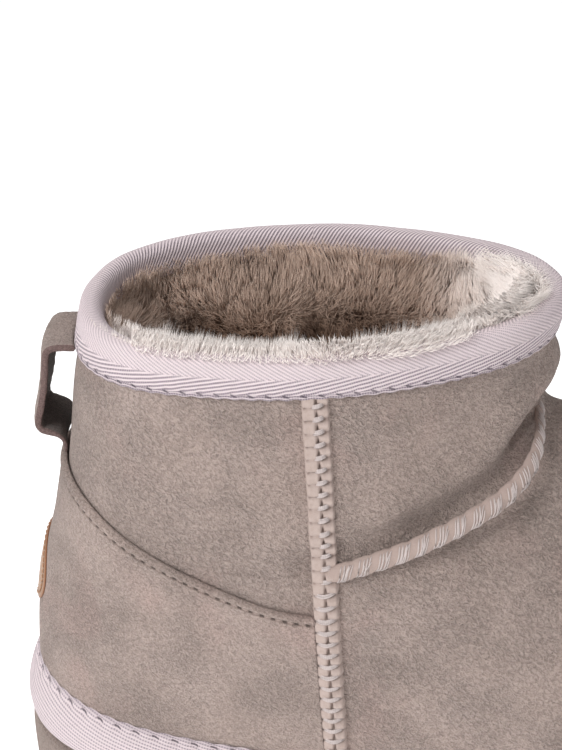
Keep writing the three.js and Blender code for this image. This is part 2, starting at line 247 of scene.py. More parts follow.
def suede_finish(name, base, colours, grain=1.0, stitch=None):
    """Brushed nap: fine grain, short slanted creases, soft patches of colour, and painted shade in the crease
    valleys.

    stitch is the pitch of a row of needle holes and its distance from the piece's edge; the holes and the
    groove along the row get painted shade.
    """
    finish = Finish(name, 0.92, Sheen_Weight=0.12, Sheen_Roughness=0.5, Specular_IOR_Level=0.25)
    shade = colours.suede_shade
    nap = finish.noise(2600, 3, 0.6)
    slanted = finish.turned((0.0, math.radians(38), 0.0), (1.35, 1.0, 0.85))
    crease = finish.noise(1200 / grain, 2, 0.6, 0.9, slanted)
    fleck = finish.noise(1500, 1, 0.5)
    patch = finish.noise(62, 3, 0.55)
    cloud = finish.noise(240, 2, 0.5)
    tint = finish.noise(38, 2, 0.5, 0.3)
    # Patches of nap colour from noise, partly painted shade: darker where the crease relief is low.
    nap_patches_and_crease_shade = (patch * 0.5 + cloud * 0.2 + crease * 0.55 + nap * 0.25).ramp(0.5, 1.0)
    body = finish.mix(nap_patches_and_crease_shade, shade, base)
    body = finish.mix(tint.ramp(0.52, 0.72) * 0.5, body, colours.suede_blush)
    # Painted shade: darker mostly in the crease valleys, with some fine speckle.
    crease_shade_and_speckle = (crease * 0.6 + nap * 0.25 + fleck * 0.15).ramp(0.36, 0.62) * 0.7 + 0.4
    body = finish.mix(crease_shade_and_speckle, toned(shade, 0.45), body)
    finish.feed("Roughness", nap * 0.12 + 0.84)
    rub = finish.noise(46, 2, 0.5).ramp(0.35, 0.7) * 0.6 + 0.4
    relief = crease * rub * 1.8 + nap * 0.4 + fleck * 0.3
    if stitch:
        pitch, inset = stitch
        along, across = finish.cloth()
        row = (across - inset).math("ABSOLUTE")
        # Painted shade in the needle holes and along the groove of the stitch row.
        hole_shade = (along / pitch).wave().ramp(0.55, 0.9) * (1 - row.ramp(0.3 * MM, 0.62 * MM))
        body = finish.mix(hole_shade * 0.8, body, toned(shade, 0.22))
        body = finish.mix((1 - row.ramp(0.2 * MM, 0.9 * MM)) * 0.3, body, toned(shade, 0.5))
    finish.feed("Base Color", body)
    finish.bump(relief, 1.3 * MM * grain, 1.0)
    return finish.material


def tape_finish(name, colours, wales, dash, plain):
    """Woven tape: slanted rows of dotted gaps in each wale, and a row of stitch dents, with painted shade in
    the dents and along the lower edge.

    plain is the middle and half width of the band whose yarns lie close, and how close.
    """
    finish = Finish(name, 0.8, Specular_IOR_Level=0.3)
    along, across = finish.cloth()
    wander = finish.noise(260, 2) * 0.25 * MM
    rows, dots = None, None
    for start, slope, spacing, dot in wales:
        run = spacing / math.cos(math.atan(slope))
        phase = (across - along * slope + wander) / run
        row = phase.wave().ramp(0.18, 0.95)
        dotted = ((along + across * slope) / dot).wave()
        if rows is None:
            rows, dots = row, dotted
            continue
        inside = across.ramp(start - 0.12 * MM, start + 0.12 * MM)
        rows = rows + (row - rows) * inside
        dots = dots + (dotted - dots) * inside
    close = 1 - (across - plain[0]).math("ABSOLUTE").ramp(plain[1] * 0.6, plain[1])
    gap = rows * (dots * 0.62 + 0.38) * (1 - close * plain[2])
    place, reach, pitch, slope = dash
    slanted = across - place + ((along / pitch).math("FRACT") - 0.5) * slope
    stitch = ((along / pitch + 0.5).wave().ramp(0.62, 0.86)
              * (1 - slanted.math("ABSOLUTE").ramp(reach * 0.5, reach)))
    fuzz = finish.noise(1900, 2)
    body = finish.mix((gap * 0.85 + fuzz * 0.25).ramp(0.12, 1.0) * 0.86, colours.tape, colours.tape_shade)
    # Painted shade along the tape's lower edge, fading out between 2.2 and 3.4 mm across.
    body = finish.mix((1 - across.ramp(2.2 * MM, 3.4 * MM)) * 0.22, body, colours.tape_shade)
    # Painted shade in the stitch dents.
    body = finish.mix(stitch * 0.7, body, toned(colours.tape_shade, 0.5))
    finish.feed("Base Color", body)
    finish.bump((1 - gap) + fuzz * 0.35 - stitch * 1.2, 0.34 * MM, 1.0)
    return finish.material


def lint_finish(name, base, depth, scale, roughness, **constants):
    """Loose fibres of cut or rough leather; depth is how dark the gaps between them are."""
    finish = Finish(name, roughness, **constants)
    lint = finish.noise(scale, 3, 0.7)
    finish.feed("Base Color", finish.mix(lint.ramp(0.3, 0.75), toned(base, depth), base))
    finish.bump(lint, 0.5 * MM, 1.0)
    return finish.material


def thread_finish(name, base, shade):
    """Twisted yarn."""
    finish = Finish(name, 0.7, Specular_IOR_Level=0.35)
    along, across = finish.cloth()
    ply = ((along + across * 1.4) / (0.55 * MM)).wave()
    fuzz = finish.noise(2400, 2)
    finish.feed("Base Color", finish.mix(ply * 0.45 + fuzz * 0.6, shade, base))
    finish.bump(ply + fuzz * 0.6, 0.08 * MM, 0.8)
    return finish.material


def wool_finish(name, colours, pile):
    """Wool: darker towards the roots, paler towards the heel end, painted light towards the collar, painted
    shade lower in the lining and on pile ends away from the outer side and the front.
    """
    finish = Finish(name, 0.95, Specular_IOR_Level=0.1)
    if pile:
        lock, tip = finish.cloth()
    else:
        tip = finish.noise(1200, 3, 0.65) * 0.6
        lock = finish.noise(420, 2)
    forward, inward, up = finish.axes(finish.place())
    # Painted light towards the top of the lining, painted shade lower down inside the boot.
    height_light = up.ramp(0.136, 0.176)
    patch = finish.noise(64, 2, 0.5, 0.4)
    heel = 1 - forward.ramp(-0.105, -0.078)
    pale = (tip * 0.14 + height_light * 0.95 + lock * 0.16 + patch * 0.8 + heel * 0.34 - 0.48).ramp(0.0, 0.95)
    # 1 on the outer side and the front, where pile ends get the lit colour; elsewhere they get painted shade.
    lit_ends = (1 - inward.ramp(-0.030, -0.012)).math("MAXIMUM", forward.ramp(-0.022, 0.008))
    ends = finish.mix(lit_ends, colours.wool_far_shade, colours.wool_tip)
    deep = finish.mix(patch.ramp(0.35, 0.7), toned(colours.wool_root_and_shade, 0.6), colours.wool_root_and_shade)
    finish.feed("Base Color", finish.mix(pale, deep, ends))
    if not pile:
        finish.bump(tip + lock * 0.6, 1.2 * MM, 1.0)
    return finish.material


# ---------------------------------------------------------------- meshes and surfaces


def deselect_all():
    if bpy.context.object and bpy.context.object.mode != "OBJECT":
        bpy.ops.object.mode_set(mode="OBJECT")
    bpy.ops.object.select_all(action="DESELECT")


def pick(piece):
    deselect_all()
    piece.select_set(True)
    bpy.context.view_layer.objects.active = piece


def finish_piece(piece, slot, *materials, replaces=()):
    """Materials and smooth shading for a finished piece, parented to the root body, hiding the frame parts it
    replaces.
    """
    piece.data.materials.clear()
    for material in materials:
        piece.data.materials.append(material)
    pick(piece)
    bpy.ops.object.shade_smooth()
    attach(piece, "root")
    if replaces:
        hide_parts(*replaces)
    deselect_all()
    return piece


def apply_modifier(piece, kind, **settings):
    pick(piece)
    modifier = piece.modifiers.new(kind.title(), kind)
    for key, value in settings.items():
        setattr(modifier, key, value)
    bpy.ops.object.modifier_apply(modifier=modifier.name)


def refined(node, name, levels):
    """Copy of a frame solid, merged into quads and subdivided."""
    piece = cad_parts[node].copy()
    piece.data = piece.data.copy()
    piece.name = piece.data.name = name
    piece.parent = None
    for key in list(piece.keys()):
        del piece[key]
    bpy.context.scene.collection.objects.link(piece)
    pick(piece)
    bpy.ops.mesh.customdata_custom_splitnormals_clear()
    bpy.ops.object.mode_set(mode="EDIT")
    bpy.ops.mesh.select_all(action="SELECT")
    bpy.ops.mesh.remove_doubles(threshold=0.02 * MM)
    bpy.ops.mesh.tris_convert_to_quads(face_threshold=math.radians(50), shape_threshold=math.radians(60))
    bpy.ops.object.mode_set(mode="OBJECT")
    if levels:
        apply_modifier(piece, "SUBSURF", levels=levels, render_levels=levels)
    return piece


def laid_grid(name, columns, rows, place, print_at, recalculate=True):
    """A flat grid laid cell by cell on its place and closed where its edges meet.

    place(i, j) is the point of a crossing; print_at(i, j) is its place on the flat cloth.
    """
    deselect_all()
    bpy.ops.mesh.primitive_grid_add(x_subdivisions=columns, y_subdivisions=rows, size=1.0, calc_uvs=True)
    piece = bpy.context.object
    piece.name = piece.data.name = name
    mesh = piece.data
    crossings = [
        (round((v.co.x + 0.5) * columns), round((v.co.y + 0.5) * rows)) for v in mesh.vertices
    ]
    cloth = mesh.uv_layers.active.data
    for loop in mesh.loops:
        cloth[loop.index].uv = print_at(*crossings[loop.vertex_index])
    for vertex, crossing in zip(mesh.vertices, crossings):
        vertex.co = place(*crossing)
    bpy.ops.object.mode_set(mode="EDIT")
    bpy.ops.mesh.select_all(action="SELECT")
    bpy.ops.mesh.remove_doubles(threshold=0.004 * MM)
    if recalculate:
        bpy.ops.mesh.normals_make_consistent(inside=False)
    bpy.ops.object.mode_set(mode="OBJECT")
    return piece


def heading(turn):
    """Level direction at a turn from +X."""
    return Vector((math.cos(turn), math.sin(turn), 0))


class Skin:
    """A piece's surface, for laying other pieces on it."""

    def __init__(self, piece):
        mesh = piece.data
        self.tree = BVHTree.FromPolygons(
            [v.co.copy() for v in mesh.vertices], [tuple(p.vertices) for p in mesh.polygons]
        )

    def towards(self, origin, direction):
        hit = self.tree.ray_cast(origin, direction)[0]
        if hit is None:
            raise RuntimeError(f"nothing to lay on from {tuple(origin)} towards {tuple(direction)}")
        return hit

    def from_side(self, x, z, side):
        return self.towards(Vector((x, side * 0.2, z)), Vector((0, -side, 0)))

    def round_axis(self, axis, turn, z):
        """Outermost point in a direction from an upright axis."""
        away = heading(turn)
        return self.towards(Vector((axis.x, axis.y, z)) + away * 0.25, -away)

    def normal(self, point, reach):
        """Mean normal over a patch round a point."""
        total = Vector()
        for _, normal, _, distance in self.tree.find_nearest_range(point, reach):
            total += normal * (1.2 * reach - distance)
        return total.normalized()


def through(points, step):
    """Smooth curve through points, cut into steps of equal length."""
    ends = [points[0] * 2 - points[1], *points, points[-1] * 2 - points[-2]]
    fine = []
    for a, b, c, d in zip(ends, ends[1:], ends[2:], ends[3:]):
        for k in range(24):
            t = k / 24
            fine.append(
                0.5 * (2 * b + (c - a) * t + (2 * a - 5 * b + 4 * c - d) * t * t
                       + (3 * b - a - 3 * c + d) * t ** 3)
            )
    fine.append(points[-1])
    return evenly(fine, step)


def evenly(points, step):
    total = sum((b - a).length for a, b in zip(points, points[1:]))
    count = max(2, round(total / step))
    cut, spare, out = total / count, 0.0, [points[0].copy()]
    for a, b in zip(points, points[1:]):
        span = (b - a).length
        while spare + span >= cut - 1e-12 and len(out) < count:
            share = (cut - spare) / span if span else 0
            a = a + (b - a) * share
            span = (b - a).length
            spare = 0.0
            out.append(a.copy())
        spare += span
    out.append(points[-1].copy())
    return out


def running(points):
    """Distance of each point along its line."""
    lengths = [0.0]
    for a, b in zip(points, points[1:]):
        lengths.append(lengths[-1] + (b - a).length)
    return lengths


class Track:
    """A line on a surface with its forward, sideways and outward directions."""

    def __init__(self, points, skin, step, reach=3.5 * MM):
        self.points = points
        self.step = step
        rough = [skin.normal(p, reach) for p in points]
        wide = max(1, round(5 * MM / step))
        self.normals = [
            sum(rough[max(0, i - wide): i + wide + 1], Vector()).normalized() for i in range(len(points))
        ]
        self.length = step * (len(points) - 1)

    def at(self, distance, aside=0.0, above=0.0):
        whole = min(max(distance / self.step, 0.0), len(self.points) - 1.001)
        i = int(whole)
        share = whole - i
        point = self.points[i].lerp(self.points[i + 1], share)
        before, after = self.points[max(0, i - 2)], self.points[min(len(self.points) - 1, i + 3)]
        forward = (after - before).normalized()
        out = self.normals[i].lerp(self.normals[i + 1], share).normalized()
        across = out.cross(forward).normalized()
        return point + across * aside + out * above


def smooth(value, low, high):
    t = min(max((value - low) / (high - low), 0.0), 1.0)
    return t * t * (3 - 2 * t)


def hump(value, centre, half):
    """1 at the centre, falling smoothly to 0 at half a width away."""
    return 1 - smooth(abs(value - centre), 0.0, half)


SKINS = {}


def skin_of(name):
    if name not in SKINS:
        SKINS[name] = Skin(bpy.data.objects[name])
    return SKINS[name]


def platform_top(x):
    """Height of the platform under the upper."""
    x = min(max(x, -0.136), 0.136)
    return skin_of("midsole").towards(Vector((x, 0, 0.3)), Vector((0, 0, -1))).z


def heel_lift(x):
    """How much taller the sole tape stands at the heel than along the foot."""
    share = min(max((x + 0.1345) / 0.268, 0.0), 1.0)
    turn = min(math.acos(1 - 2 * share), math.pi / 3)
    return 1 + 0.62 * math.cos(1.5 * turn) ** 2


# The instep seam on the outer side, from the side seam to the front; the inner side mirrors it.
INSTEP = [
    (-41.5, -45.7, 111.9), (-34.0, -45.8, 114.5), (-29.7, -45.9, 116.1), (-19.7, -45.5, 119.8),
    (-9.8, -43.7, 123.9), (-2.5, -40.8, 126.8), (4.9, -36.6, 130.0), (9.8, -32.7, 132.9),
    (13.7, -28.2, 136.1), (16.2, -23.0, 138.9), (17.3, -16.6, 141.2), (17.3, -9.2, 143.0),
    (17.1, 0.0, 144.6),
]

# Top edge of the heel counter in side view, from the middle of the heel to the side seam.
COUNTER_EDGE = [
    (-119.5, 131.2), (-116.0, 130.6), (-108.4, 127.4), (-96.5, 120.3),
    (-84.6, 113.4), (-69.9, 105.9), (-56.0, 101.4), (-40.0, 97.5),
]

# Outer face of the pull loop in side view, from under the collar tape to the counter.
LOOP_PATH = [
    (-113.9, 165.4), (-117.4, 165.5), (-120.8, 165.2), (-123.0, 164.0), (-123.9, 161.8),
    (-124.6, 157.0), (-125.4, 152.0), (-126.7, 146.5), (-128.0, 141.8), (-128.1, 139.4),
    (-126.7, 137.4), (-124.3, 136.6), (-121.8, 135.8), (-120.6, 134.2), (-120.6, 131.4),
]


def read_curve(rows, x):
    """Smooth reading between the rows of a two-column table, in millimetres."""
    if x <= rows[0][0]:
        return rows[0][1]
    for i, ((x0, z0), (x1, z1)) in enumerate(zip(rows, rows[1:])):
        if x <= x1:
            before = rows[i - 1] if i else rows[i]
            after = rows[i + 2] if i + 2 < len(rows) else rows[i + 1]
            slope0 = (z1 - before[1]) / (x1 - before[0])
            slope1 = (after[1] - z0) / (after[0] - x0)
            t, run = (x - x0) / (x1 - x0), x1 - x0
            return ((2 * t ** 3 - 3 * t * t + 1) * z0 + (t ** 3 - 2 * t * t + t) * run * slope0
                    + (3 * t * t - 2 * t ** 3) * z1 + (t ** 3 - t * t) * run * slope1)
    return rows[-1][1]


def instep_points():
    outer = [Vector(p) * MM for p in INSTEP]
    inner = [Vector((p.x, -p.y, p.z)) for p in reversed(outer[:-1])]
    return outer + inner


CAVITY = [Vector(p) for p in ((-0.05, 0, 0.2), (-0.055, 0, 0.08), (0.03, 0, 0.05), (0.105, 0, 0.045))]


def faces_cavity(centre, normal):
    """True for a face of the lining, which looks at the middle of the foot."""
    best = None
    for a, b in zip(CAVITY, CAVITY[1:]):
        run = b - a
        t = min(max((centre - a).dot(run) / run.dot(run), 0.0), 1.0)
        gap = a + run * t - centre
        if best is None or gap.length < best.length:
            best = gap
    return normal.dot(best) > 0


# ---------------------------------------------------------------- operators


class BootOperator:
    """Shared settings of the boot's operators."""

    bl_options = {"REGISTER", "UNDO"}

    def execute(self, context):
        scene = context.scene
        self.build(scene.boot_colours, scene)
        return {"FINISHED"}


class BOOT_OT_stage(BootOperator, bpy.types.Operator):
    """Camera, soft studio light and pale floor."""

    bl_idname = "boot.stage"
    bl_label = "Studio stage"

    CAMERA_PLACE = (17.4, -552.8, 429.3)    # millimetres
    CAMERA_TURN, CAMERA_DOWN, CAMERA_ROLL = -7.62, 26.55, -3.62    # degrees
    LENS = 104.93
    AIM = (0, 0, 0.09)      # what the lights point at
    # Name, place, size and power.
    LIGHTS = (
        ("key", (-0.72, -0.95, 1.0), 0.6, 13.5),
        ("top", (-0.15, 0.1, 1.4), 0.9, 6.5),
        ("fill", (1.0, -0.9, 0.6), 1.1, 2.2),
    )

    def build(self, colours, scene):
        self.camera(scene)
        self.lights(scene)
        self.floor()

    def camera(self, scene):
        turn, down, roll = (math.radians(a) for a in (self.CAMERA_TURN, self.CAMERA_DOWN, self.CAMERA_ROLL))
        look = Vector((math.sin(turn) * math.cos(down), math.cos(turn) * math.cos(down), -math.sin(down)))
        up = Vector((0, 0, 1)) - look * Vector((0, 0, 1)).dot(look)
        up.normalize()
        right = look.cross(up)
        right, up = right * math.cos(roll) + up * math.sin(roll), up * math.cos(roll) - right * math.sin(roll)
        deselect_all()
        bpy.ops.object.camera_add()
        camera = bpy.context.object
        camera.name = "camera"
        axes = Matrix((right, up, -look)).transposed()
        camera.matrix_world = Matrix.Translation(Vector(self.CAMERA_PLACE) * MM) @ axes.to_4x4()
        camera.data.lens = self.LENS
        camera.data.clip_start = 0.02
        scene.camera = camera

    def lights(self, scene):
        world = bpy.data.worlds.new("studio")
        world.use_nodes = True
        sky = world.node_tree.nodes["Background"].inputs
        sky["Color"].default_value = (1, 1, 1, 1)
        sky["Strength"].default_value = 0.3
        scene.world = world
        scene.view_settings.view_transform = "Standard"
        for name, place, size, power in self.LIGHTS:
            deselect_all()
            bpy.ops.object.light_add(type="AREA", location=place)
            light = bpy.context.object
            light.name = name
            light.data.shape = "DISK"
            light.data.size = size
            light.data.energy = power
            away = Vector(place) - Vector(self.AIM)
            light.rotation_euler = away.to_track_quat("Z", "Y").to_euler()

    def floor(self):
        deselect_all()
        bpy.ops.mesh.primitive_plane_add(size=12.0)
        floor = bpy.context.object
        floor.name = "floor"
        finish = Finish("pale_floor", 0.85, Specular_IOR_Level=0.2, Emission_Strength=0.45)
        tone = finish.noise(3, 2)
        finish.feed("Base Color", finish.mix(tone, (0.93, 0.93, 0.93), (0.97, 0.97, 0.97)))
        finish.shader.inputs["Emission Color"].default_value = (1, 1, 1, 1)
        floor.data.materials.append(finish.material)
        deselect_all()


class BOOT_OT_upper(BootOperator, bpy.types.Operator):
    """Suede shell with its soft troughs, and the wool side of the skin."""

    bl_idname = "boot.upper"
    bl_label = "Upper"

    def build(self, colours, scene):
        piece = refined("upper", "upper_suede", 2)
        suede = suede_finish("suede", colours.suede, colours)
        wool = wool_finish("wool_skin", colours, pile=False)
        self.shape(piece)
        finish_piece(piece, "suede", suede, wool, replaces=("upper",))
        for face in piece.data.polygons:
            face.material_index = 1 if faces_cavity(face.center, face.normal) else 0

    def shape(self, piece):
        """Trough along the instep seam, the soft swell above it, and a lazy roll of the skin."""
        seam = through(instep_points(), 3 * MM)

        def depth_at(place):
            near = min(seam, key=lambda p: (p - place).length_squared)
            gap = (place - near).length * (1 if place.z > near.z else -1)
            front = smooth(place.x, -0.038, 0.006)
            depth = -(1.1 + 3.4 * front) * MM * hump(gap, 6.0 * MM, 5.8 * MM)
            depth += (0.9 + 3.2 * front) * MM * hump(gap, 12.8 * MM, 8.5 * MM)
            depth += 0.9 * MM * hump(gap, -18 * MM, 16 * MM) - 0.5 * MM * hump(gap, -4 * MM, 6 * MM)
            seam_gap = abs(place.x - SEAM_X)
            if abs(place.y) > 0.03:
                depth -= 0.5 * MM * hump(seam_gap, 4.5 * MM, 5 * MM)
                depth += 0.5 * MM * hump(seam_gap, 16 * MM, 12 * MM)
            low = smooth(place.z, 0.06, 0.08) * (1 - smooth(place.z, 0.155, 0.166))
            roll = noise.noise(Vector((place.x * 26, place.y * 26, place.z * 34)))
            return (depth + 0.7 * MM * roll * low) * (1 - smooth(place.z, 0.163, 0.168))

        swell(piece, lambda place, normal: 0 if faces_cavity(place, normal) else depth_at(place))


def swell(piece, depth_at):
    """Moves every point of a piece along its normal by a depth that depends on both."""
    still = [(v.co.copy(), v.normal.copy()) for v in piece.data.vertices]
    moved = [value for place, normal in still for value in place + normal * depth_at(place, normal)]
    piece.data.vertices.foreach_set("co", moved)
    piece.data.update()


def ring_stations(skin, axis, height_of, step, start):
    """Evenly spaced points round the boot with outward directions.

    They run from the start turn backwards, so on the outer side they go to the toe.
    """
    raw = []
    for k in range(1440):
        turn = start + 2 * math.pi * k / 1440
        z = min(height_of(SEAM_X) + 12 * MM, COLLAR_TOP - 1.5 * MM)
        for _ in range(4):
            point = skin.round_axis(axis, turn, z)
            z = height_of(point.x)
        raw.append(point)
    raw.append(raw[0].copy())
    ring = evenly(raw, step)[:-1]
    outs = []
    for i in range(len(ring)):
        along = ring[(i + 6) % len(ring)] - ring[i - 6]
        outs.append(Vector((along.y, -along.x, 0)).normalized())
    return ring, outs


def tape_section(shown, hidden, step):
    """A tape's closed section, smooth where it shows, and the distances along it."""
    section = through([Vector((*row, 0)) for row in shown], step)
    section += [Vector((*row, 0)) for row in hidden] + [section[0]]
    return section, running(section)


def fitted(ring, step, pitch):
    """The pitch nearest to the one wanted that goes round a ring a whole number of times."""
    around = len(ring) * step
    return around / round(around / pitch)


class BOOT_OT_collar_tape(BootOperator, bpy.types.Operator):
    """Herringbone tape folded over the collar."""

    bl_idname = "boot.collar_tape"
    bl_label = "Collar tape"

    # Section: height over the collar's edge and distance outside it, in millimetres.
    SECTION = [
        (-9.3, 0.45), (-9.85, 0.75), (-9.7, 1.35), (-8.6, 1.62), (-6, 1.78), (-3, 1.85), (-0.8, 1.75),
        (0.5, 1.3), (1.4, 0.5), (1.78, -0.6), (1.85, -1.75), (1.78, -2.9), (1.4, -4.0), (0.5, -4.8),
        (-0.8, -5.2), (-3, -5.3), (-5.5, -5.15), (-7.1, -4.95), (-7.6, -4.5), (-7.2, -4.0),
    ]
    HIDDEN = [(-4.0, -3.9), (-0.35, -3.85), (-0.3, 0.35), (-5.0, 0.4)]
    WALL = 3.5      # thickness of the shell that the section is drawn round, in millimetres

    def build(self, colours, scene):
        skin = skin_of("upper_suede")
        tapes = scene.boot_tapes
        ring, outs = ring_stations(
            skin, COLLAR_AXIS, lambda x: COLLAR_TOP - 1.5 * MM, tapes.collar_step, math.radians(96)
        )
        section, widths = tape_section(self.SECTION, self.HIDDEN, 0.8)
        columns, rows = len(ring), len(section) - 1
        pitch = fitted(ring, tapes.collar_step, tapes.collar_pitch)
        legs = {}

        def base(i, depth):
            """The shell's outside below station i, remembered for each depth."""
            key = (i, round(depth, 3))
            if key not in legs:
                start = ring[i] + outs[i] * 0.03
                start.z = COLLAR_TOP + min(depth, -1.5) * MM
                legs[key] = skin.towards(start, -outs[i])
            return legs[key]

        walls = []
        for point, out in zip(ring, outs):
            wall = skin.towards(Vector((point.x, point.y, COLLAR_TOP - 4 * MM)) - out * 0.02, out)
            walls.append((wall - base(len(walls), -4.0)).dot(out) / MM + self.WALL)

        def place(i, j):
            i %= columns
            up, out = section[j].x, section[j].y
            along = i * tapes.collar_step
            point = base(i, up if out > -1 else -1.5) if up < 0 else base(i, -1.5)
            wave = math.cos(2 * math.pi * along / pitch)
            edge = smooth(-up, 7.6, 9.6) if out > 0 else 0.0
            dent = 0.5 * hump(-up, 7.6, 0.9) * hump((along / pitch) % 1, 0.5, 0.3) * (out > 0)
            spot = noise.noise(Vector((along * 90, j * 0.2, 3.0)))
            lift = (up + 0.22 * wave * edge + 0.12 * spot) * MM
            spread = (out - dent + 0.14 * edge * (0.5 + 0.5 * wave) + 0.10 * spot) * MM
            spread += min(max(walls[i], -4.0), 1.0) * smooth(-out, 0.3, 4.2) * MM
            return Vector((point.x, point.y, COLLAR_TOP + lift)) + outs[i] * spread

        piece = laid_grid(
            "collar_tape", columns, rows, place,
            lambda i, j: (i * tapes.collar_step, widths[j] * MM),
        )
        wales = [
            (0.0, 0.02, 0.9 * MM, 0.7 * MM), (2.6 * MM, 0.21, 1.12 * MM, 0.62 * MM),
            (7.4 * MM, -0.62, 0.9 * MM, 0.62 * MM), (14.2 * MM, 1.5, 1.0 * MM, 0.62 * MM),
        ]
        dash = (2.4 * MM, 0.27 * MM, pitch, 1.4 * MM)
        finish = tape_finish("collar_weave", colours, wales, dash, (11.6 * MM, 5.6 * MM, 0.42))
        finish_piece(piece, "woven_tape", finish, replaces=("collar_binding",))


class BOOT_OT_sole(BootOperator, bpy.types.Operator):
    """Wrapped platform, its tape, the outsole and the insole."""

    bl_idname = "boot.sole"
    bl_label = "Sole"

    # Section of the tape: height over the platform and distance outside the shell.
    SECTION = [
        (12.6, 0.6), (13.15, 1.1), (12.9, 1.75), (11.8, 2.75), (10.2, 3.85), (8.5, 4.85), (6.6, 5.65),
        (4.6, 6.1), (2.6, 6.15), (1.2, 5.85), (0.5, 5.2),
    ]
    HIDDEN = [(0.35, 3.0), (0.35, 0.7), (6.0, 0.65)]

    def build(self, colours, scene):
        midsole = refined("midsole", "platform_wrap", 2)
        wrap = suede_finish("wrap_suede", colours.wrap, colours, 0.9)
        swell(midsole, lambda place, _: 0.25 * MM * noise.noise(
            Vector((place.x * 90, place.y * 90, place.z * 40))))
        finish_piece(midsole, "platform_wrap", wrap, replaces=("midsole",))
        self.tape(colours, scene.boot_tapes)
        self.outsole(colours)
        insole = refined("insole", "fleece_insole", 3)
        swell(insole, lambda place, normal: 0.8 * MM * noise.noise(place * 240)
              * smooth(normal.z, 0.2, 0.8))
        finish_piece(insole, "wool", bpy.data.materials["wool_skin"], replaces=("insole",))

    def tape(self, colours, tapes):
        skin = skin_of("upper_suede")
        ring, outs = ring_stations(
            skin, SOLE_AXIS, lambda x: platform_top(x) + 7 * MM, tapes.sole_step, math.radians(95)
        )
        section, widths = tape_section(self.SECTION, self.HIDDEN, 0.75)
        columns, rows = len(ring), len(section) - 1
        pitch = fitted(ring, tapes.sole_step, tapes.sole_pitch)
        tops = [platform_top(p.x) for p in ring]

        def place(i, j):
            i %= columns
            up, out = section[j].x, section[j].y
            up *= heel_lift(ring[i].x)
            start = ring[i] + outs[i] * 0.03
            start.z = tops[i] + max(up, 4.0) * MM
            point = skin.towards(start, -outs[i])
            along = i * tapes.sole_step
            beat = hump((along / pitch) % 1, 0.5, 0.36)
            dent = 0.75 * hump(widths[j], 3.4, 1.9) * beat
            lip = 0.2 * smooth(13 - section[j].x, 3, 0) * math.cos(2 * math.pi * along / pitch)
            spot = noise.noise(Vector((along * 60, j * 0.15, 9.0)))
            return Vector((point.x, point.y, tops[i] + (up + lip) * MM)) + outs[i] * (
                out - dent + 0.12 * spot) * MM

        piece = laid_grid(
            "sole_tape", columns, rows, place, lambda i, j: (i * tapes.sole_step, widths[j] * MM)
        )
        wales = [(0.0, 0.16, 0.95 * MM, 0.8 * MM)]
        dash = (3.3 * MM, 0.36 * MM, pitch, -1.6 * MM)
        finish = tape_finish("sole_weave", colours, wales, dash, (7.0 * MM, 14 * MM, 0.3))
        finish_piece(piece, "woven_tape", finish, replaces=("sole_binding",))

    def outsole(self, colours):
        finish = Finish("tread_rubber", 0.75, Specular_IOR_Level=0.35)
        speckle = finish.noise(1400, 3)
        smear = finish.noise(45, 3)
        worn = smear * 0.5 + speckle * 0.4
        finish.feed("Base Color", finish.mix(worn, toned(colours.rubber, 0.7), colours.rubber))
        finish.feed("Roughness", speckle * 0.2 + 0.62)
        finish.bump(speckle, 0.15 * MM, 0.6)
        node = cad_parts["outsole"]
        node.data.materials.clear()
        node.data.materials.append(finish.material)


